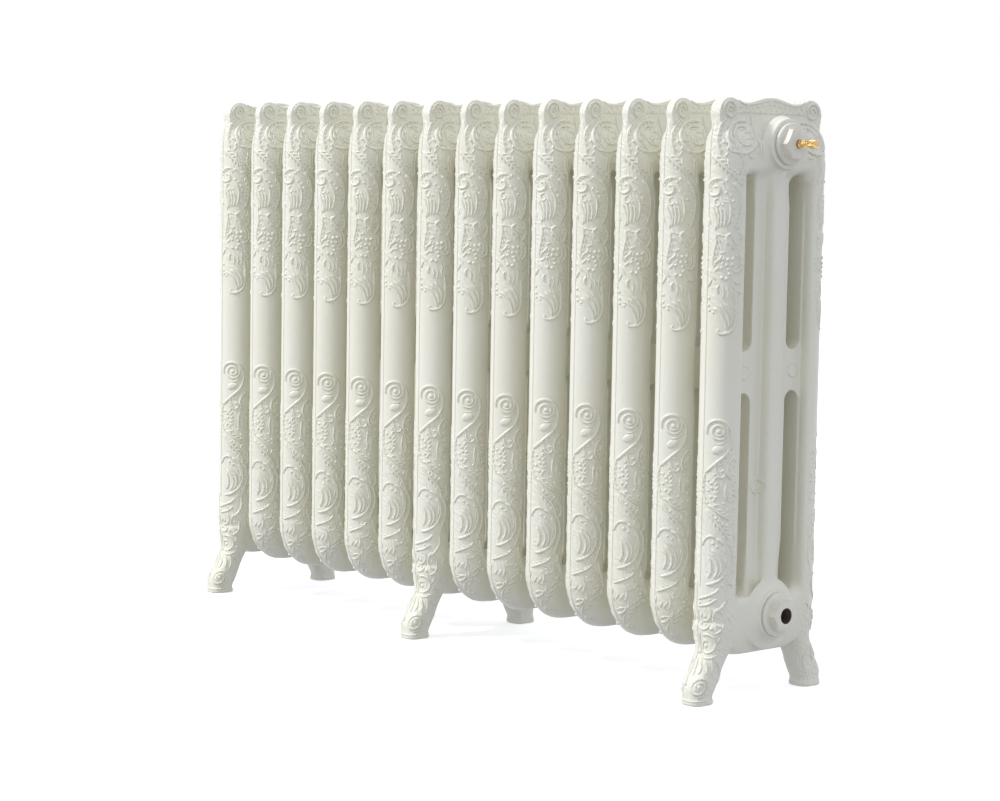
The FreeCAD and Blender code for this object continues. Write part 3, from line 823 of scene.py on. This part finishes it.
def legFace(model, rear):
    turn = -1 if rear else 1

    def hit(u, z):
        # legs lean outwards below the ankle, so the middle of each turn follows them
        lean = leg["middle"] + max(0.0, (leg["ankle"] - z) * leg["lean"])
        angle = u / leg["round"]
        way = Vector((math.sin(angle), -math.cos(angle), 0))
        start = (Vector((0, -lean, 0)) + way * 90) * mm
        start = Vector((start.x * turn, start.y * turn, z * mm))
        return model.cast(start, Vector((-way.x * turn, -way.y * turn, 0)))
    return hit


def dressLeg(model, rear):
    hit = legFace(model, rear)
    seam = [(leg["seamPlace"], z) for z in range(6, 160, 8)]
    model.strand(hit, relief["seamWide"], relief["seamProud"], seam)
    for wide, proud, points in legScrolls:
        model.strand(hit, wide, proud, points)
        outer = [(-u, z) for u, z in points]
        if min(u for u, z in points) > 8:
            model.strand(hit, wide, proud, outer)
    model.strand(hit, 3.8, 1.6, spiralRoute(leg["footScroll"], 13.5, 3.5, 2.0, -90, 1), smooth=False)
    for u, z, radius in legBeads:
        model.bead(hit, u, z, radius)
    for side in (1, -1):
        flank = model.onFlank(side, rear)
        if side < 0:
            heel = spiralRoute(leg["heelScroll"], 13, 4, 1.5, -90, side)
            model.strand(flank, 4.0, 1.5, heel, smooth=False)
        model.strand(flank, 2.8, 1.1, [(-92, 60), (-84, 50), (-80, 38), (-84, 26)])
        model.strand(flank, 2.6, 1.1, [(-66, 116), (-72, 115), (-75, 110), (-71, 107)])


def rustInside(piece, height, radius, reach=1000.0):
    # bare iron in a hole along X: its faces get the second material
    piece.data.materials.append(finishes["rust"])
    for part in piece.data.polygons:
        spot = part.center
        if math.hypot(spot.y, spot.z - height * mm) < radius * mm and abs(spot.x) < reach * mm:
            part.material_index = 1


coreMark = {"bridge": (-45.5, 421), "bridgeRadius": 8.6, "column": (-20, 275), "columnRadius": 9}


def coreMarks(model, side):
    # shallow rings where the cores were held: one on each bridge between slots, one on the middle column
    radius = coreMark["bridgeRadius"]
    for rear in (False, True):
        ring = spiralRoute(coreMark["bridge"], radius, radius, 1.0)
        model.strand(model.onFlank(side, rear), 2.0, 0.8, ring, smooth=False)
    radius = coreMark["columnRadius"]
    ring = spiralRoute(coreMark["column"], radius, radius, 1.0)
    model.strand(model.onFlank(side), 2.2, 1.0, ring, smooth=False)


def makeCasting(number, legged=False, openSide=0):
    kind = "legged" if legged else "plain"
    base = smoothCasting(number, openSide)
    triangles = 2 * len(base.data.polygons)
    finishWith(base, "DECIMATE", ratio=min(1.0, casting[kind + "Faces"] / triangles))
    model = Modeller(base, casting["halfWidth"][kind])
    for rear in (False, True):
        dressNose(model, legged, rear)
        if legged:
            dressLeg(model, rear)
    dressHeader(model)
    if openSide:
        coreMarks(model, openSide)
    piece = model.addTo(base)
    pickOnly(piece)
    bpy.ops.object.shade_smooth()
    piece.data.materials.clear()
    piece.data.materials.append(finishes["ivory"])
    if openSide:
        rustInside(piece, casting["lowHub"], casting["boreRadius"] + 0.5, casting["hubReach"] - 1.0)
    piece.data.update()
    print(kind, "section cast:", sum(len(part.vertices) - 2 for part in piece.data.polygons), "triangles")
    return piece


def placeSections():
    patterns = {"plain": makeCasting(2), "legged": makeCasting(7, True),
                "left": makeCasting(1, True, -1), "right": makeCasting(14, True, 1)}
    for number in range(1, 15):
        kind = {1: "left", 7: "legged", 14: "right"}.get(number, "plain")
        mesh = patterns[kind].data.copy()
        mesh.transform(Matrix.Translation((sectionMiddle(number), 0, 0)))
        piece = newPiece(f"casting_{number:02d}", mesh)
        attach(piece, "radiator")
        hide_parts(f"section_{number:02d}")
    for pattern in patterns.values():
        bpy.data.objects.remove(pattern)


placeSections()
print("sections placed")


# turned fittings, built along +X from the hub face and then moved to their hub

fitting = {"flange": {"lower": 28.5, "upper": 26.5}, "flangeEdge": 1.4, "gasket": 1.0, "flangeThick": 5.0,
           "acrossFlats": 37.0, "hexHeight": 10.5, "shankRadius": 20.9, "shankLength": 16.0,
           "bore": 9.3155, "threadPitch": 1.814, "threadDepth": 1.0, "mouth": 1.0, "softEdge": 0.45}


def hexBar(acrossFlats, start, height):
    # a six-sided bar along X whose outer corners are turned off
    corner = acrossFlats / math.sqrt(3)
    bar = roundBar(6, corner, height, (start + height / 2, 0, 0))
    tip = acrossFlats / 2 + 0.2
    end = start + height
    slope = end - (corner - tip) * math.tan(math.radians(30)) - 4.4
    cone = spinProfile("cone", [(start - 1, 0), (start - 1, acrossFlats), (slope, acrossFlats),
                                (slope, corner + 8), (end, tip), (end, 0)])
    cutWith(bar, cone, "INTERSECT")
    return bar


def softEdges(piece, width, angle=35):
    finishWith(piece, "BEVEL", width=width * mm, segments=3, limit_method="ANGLE",
               angle_limit=math.radians(angle), harden_normals=False)
    fixNormals(piece)
    pickOnly(piece)
    bpy.ops.object.shade_smooth_by_angle(angle=math.radians(30))


def threadedHole(radius, start, end, mouth):
    # cutter for a hole with a pipe thread's rings
    pitch = fitting["threadPitch"]
    profile = [(start, 0), (start, radius)]
    x = start + pitch
    while x < end - 2 * pitch:
        profile += [(x, radius), (x + pitch / 2, radius + fitting["threadDepth"]), (x + pitch * 0.98, radius)]
        x += pitch
    profile += [(end - mouth, radius), (end, radius + mouth), (end + 2, radius + mouth + 0.01), (end + 2, 0)]
    return spinProfile("threadCutter", profile)


def makeBush(name, row, bore, blank=False):
    start = fitting["gasket"]
    flangeEnd = start + fitting["flangeThick"]
    top = flangeEnd + fitting["hexHeight"]
    radius = fitting["flange"][row]
    edge = fitting["flangeEdge"]
    inner = -fitting["shankLength"]
    shank = fitting["shankRadius"]
    body = spinProfile(name, [(inner, 0), (inner, shank - 1), (inner + 1, shank), (start, shank),
                              (start, radius - 0.4), (start + 0.4, radius), (flangeEnd - edge, radius),
                              (flangeEnd - edge * 0.5, radius - edge * 0.25),
                              (flangeEnd, radius - edge), (flangeEnd, 0)])
    bar = hexBar(fitting["acrossFlats"], flangeEnd - 0.5, fitting["hexHeight"] + 0.5)
    cutWith(body, bar, "UNION")
    if bore:
        cutWith(body, threadedHole(bore, inner - 1, top, fitting["mouth"]))
    if blank:
        dimple = spinProfile("dimple", [(top - 1.2, 0), (top - 1.2, 7.0), (top + 1, 8.4), (top + 1, 0)])
        cutWith(body, dimple)
    softEdges(body, fitting["softEdge"])
    return body


def seat(piece, end, height, finish, body, node):
    # moves a fitting from X = 0 to its hub; the left end's fittings face the other way
    hub = casting["hubReach"] * mm
    number = 14 if end > 0 else 1
    face = sectionMiddle(number) + end * hub
    turn = Matrix.Identity(4) if end > 0 else Matrix.Rotation(math.pi, 4, "Z")
    piece.data.materials.clear()
    piece.data.materials.append(finishes[finish])
    if "Bush" in piece.name and height == casting["lowHub"]:
        rustInside(piece, 0, fitting["bore"] + fitting["threadDepth"] + 0.1)
    piece.data.transform(Matrix.Translation((face, 0, height * mm)) @ turn)
    piece.data.update()
    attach(piece, body)
    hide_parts(node)


def fitBushes():
    low = casting["lowHub"]
    high = casting["highHub"]
    rows = [("lowerRightBush", "lower", fitting["bore"], 1, low, "lower_right_bush"),
            ("lowerLeftBush", "lower", fitting["bore"], -1, low, "lower_left_bush"),
            ("ventBush", "upper", vent["shankRadius"], 1, high, "vent_bush"),
            ("blankPlug", "upper", 0, -1, high, "blank_plug")]
    for name, row, bore, end, height, node in rows:
        bush = makeBush(name, row, bore, blank=not bore)
        seat(bush, end, height, "fitting", "radiator", node)


vent = {"shankRadius": 4.283, "washer": 1.2, "collar": (5.3, 2.6), "hex": (9.2, 7.0), "neck": (3.9, 2.4),
        "gap": 1.0, "ring": (4.3, 1.8), "spindleNeck": (3.1, 2.2), "head": (5.3, 11.0), "slotWidth": 1.2,
        "slotDepth": 2.0, "stem": 2.45, "bore": 2.5, "knurls": 36, "knurlDepth": 0.32, "outlet": 0.8,
        "bodySoftEdge": 0.16, "spindleSoftEdge": 0.12}


def ventBody():
    # collar, hexagon and neck, with the spindle's hole through them and a small outlet below
    collar = vent["washer"]
    hexStart = collar + vent["collar"][1]
    neckStart = hexStart + vent["hex"][1]
    face = neckStart + vent["neck"][1]
    shank, wide, neck, bore = vent["shankRadius"] - 0.15, vent["collar"][0], vent["neck"][0], vent["bore"]
    body = spinProfile("ventBody", [(-20, 0), (-20, shank), (collar, shank), (collar, wide - 0.3),
                                    (collar + 0.3, wide), (hexStart - 0.3, wide), (hexStart, wide - 0.3),
                                    (hexStart, neck), (face - 0.4, neck), (face, neck - 0.4), (face, 0)], 64)
    acrossFlats, hexLength = vent["hex"]
    cutWith(body, hexBar(acrossFlats, hexStart, hexLength), "UNION")
    hole = spinProfile("spindleHole", [(-6, 0), (-6, bore), (face + 1, bore), (face + 1, 0)], 48)
    cutWith(body, hole)
    outlet = roundBar(20, vent["outlet"], acrossFlats, (hexStart + 1.6, 0, -acrossFlats * 0.5), (0, 0, 0))
    cutWith(body, outlet)
    softEdges(body, vent["bodySoftEdge"])
    return body, face


def ventSpindle(face):
    # stem, ring and knurled thumb head with a screwdriver slot
    ringStart = face + vent["gap"]
    ringEnd = ringStart + vent["ring"][1]
    headStart = ringEnd + vent["spindleNeck"][1]
    headEnd = headStart + vent["head"][1]
    thick, ring, neck = vent["stem"], vent["ring"][0], vent["spindleNeck"][0]
    stem = spinProfile("ventSpindle", [(-5.6, 0), (-5.6, 1.1), (-3.8, thick), (ringStart, thick),
                                       (ringStart, ring - 0.3), (ringStart + 0.3, ring),
                                       (ringEnd - 0.3, ring), (ringEnd, ring - 0.3), (ringEnd, neck),
                                       (headStart + 0.5, neck), (headStart + 0.5, 0)], 64)
    radius, length = vent["head"]
    head = roundBar(2 * vent["knurls"], radius, length, (headStart + length / 2, 0, 0))
    work = editFaces(head, "VERT")
    step = math.pi / vent["knurls"]
    for point in work.verts:
        turn = round(math.atan2(point.co.z, point.co.y) / step)
        point.select = turn % 2 == 1
    work.select_flush_mode()
    bmesh.update_edit_mesh(head.data)
    shrink = 1 - vent["knurlDepth"] / radius
    bpy.ops.transform.resize(value=(1, shrink, shrink), center_override=(0, 0, 0))
    backToObject(head)
    # both cones run on past the bar, because faces that lie on each other can lose the head in the cut
    rims = spinProfile("rims", [(headStart - 1, 0), (headStart - 1, 3.4), (headStart + 1.2, 5.6),
                                (headEnd - 1.43, 5.6), (headEnd + 1.1, 3.3), (headEnd + 1.1, 0)], 72)
    cutWith(head, rims, "INTERSECT")
    cutWith(stem, head, "UNION")
    pickNothing()
    bpy.ops.mesh.primitive_cube_add(size=1, location=((headEnd - vent["slotDepth"] / 2 + 0.5) * mm, 0, 0))
    slotTool = bpy.context.view_layer.objects.active
    slotTool.scale = ((vent["slotDepth"] + 1) * mm, 12 * mm, vent["slotWidth"] * mm)
    bpy.ops.object.transform_apply(location=True, rotation=True, scale=True)
    cutWith(stem, slotTool)
    softEdges(stem, vent["spindleSoftEdge"], 50)
    return stem


def fitVent():
    body, face = ventBody()
    spindle = ventSpindle(face)
    reach = fitting["gasket"] + fitting["flangeThick"] + fitting["hexHeight"]
    for piece in (body, spindle):
        piece.data.transform(Matrix.Translation((reach * mm, 0, 0)))
    seat(body, 1, casting["highHub"], "brass", "radiator", "vent_body")
    seat(spindle, 1, casting["highHub"], "brass", "vent_spindle", "vent_spindle")


fitBushes()
fitVent()
print("fittings seated")


def finishNodes():
    # CAD nodes that stay: nipples, gaskets, washer and O-ring
    for name, node in frame["nodes"].items():
        if name.startswith("nipple"):
            kind = "iron"
        elif "gasket" in name:
            kind = "gasket"
        elif name == "vent_o_ring":
            kind = "oRing"
        elif name == "vent_washer":
            kind = "fibre"
        else:
            continue
        node.data.materials.clear()
        node.data.materials.append(finishes[kind])


finishNodes()


# floor, light and camera

studio = {"floorSize": 30.0, "skyLight": 0.90, "groundLight": 0.42, "keyPower": 250.0, "keySize": 0.8,
          "keyPlace": (-2.2, -4.2, 4.4), "floorGlow": 0.50,
          "skyColour": (0.95, 0.985, 1.10, 1), "lampAim": (0, 0, 0.35),
          "cameraPlace": (2.6804, -2.3926, 0.6806), "cameraTurn": 48.18, "cameraTilt": -5.40,
          "cameraRoll": -0.96, "lens": 90.6}


def layFloor():
    pickNothing()
    bpy.ops.mesh.primitive_plane_add(size=studio["floorSize"], location=(0, 0, 0))
    floor = bpy.context.view_layer.objects.active
    floor.name = "floor"
    floor.data.materials.append(finishes["floor"])
    shader = finishes["floor"].node_tree.nodes["Principled BSDF"]
    shader.inputs["Emission Color"].default_value = (1, 1, 1, 1)
    shader.inputs["Emission Strength"].default_value = studio["floorGlow"]
    floor.visible_diffuse = False


def softLight(name, place, power, size):
    lamp = bpy.data.lights.new(name, "AREA")
    lamp.energy = power
    lamp.size = size
    holder = newPiece(name, lamp)
    holder.location = place
    aim = Vector(studio["lampAim"]) - Vector(place)
    holder.rotation_euler = aim.to_track_quat("-Z", "Y").to_euler()


def setStudio():
    world = bpy.data.worlds.new("studio")
    world.use_nodes = True
    tree = world.node_tree
    light = tree.nodes["Background"]
    light.inputs["Color"].default_value = studio["skyColour"]
    seen = tree.nodes.new("ShaderNodeBackground")
    place = tree.nodes.new("ShaderNodeTexCoord")
    axes = tree.nodes.new("ShaderNodeSeparateXYZ")
    level = tree.nodes.new("ShaderNodeMapRange")
    ends = {"From Min": -0.1, "From Max": 0.1, "To Min": studio["groundLight"], "To Max": studio["skyLight"]}
    for key, value in ends.items():
        level.inputs[key].default_value = value
    path = tree.nodes.new("ShaderNodeLightPath")
    both = tree.nodes.new("ShaderNodeMixShader")
    # the camera sees plain white, and the object is lit by a brighter sky over a dimmer ground
    for source, target in ((place.outputs["Generated"], axes.inputs[0]),
                           (axes.outputs["Z"], level.inputs["Value"]),
                           (level.outputs[0], light.inputs["Strength"]),
                           (path.outputs["Is Camera Ray"], both.inputs[0]),
                           (light.outputs[0], both.inputs[1]), (seen.outputs[0], both.inputs[2]),
                           (both.outputs[0], tree.nodes["World Output"].inputs[0])):
        tree.links.new(source, target)
    seen.inputs["Color"].default_value = (1, 1, 1, 1)
    bpy.context.scene.world = world
    bpy.context.scene.view_settings.view_transform = "Standard"
    softLight("keyLight", studio["keyPlace"], studio["keyPower"], studio["keySize"])
    lens = bpy.data.cameras.new("camera")
    lens.lens = studio["lens"]
    lens.sensor_width = 36.0
    camera = newPiece("camera", lens)
    turn = (Matrix.Rotation(math.radians(studio["cameraTurn"]), 4, "Z")
            @ Matrix.Rotation(math.radians(studio["cameraTilt"]), 4, "X")
            @ Matrix.Rotation(math.radians(studio["cameraRoll"]), 4, "Y")
            @ Matrix.Rotation(math.pi / 2, 4, "X"))
    camera.matrix_world = Matrix.Translation(studio["cameraPlace"]) @ turn
    bpy.context.scene.camera = camera


layFloor()
setStudio()
print("studio set")
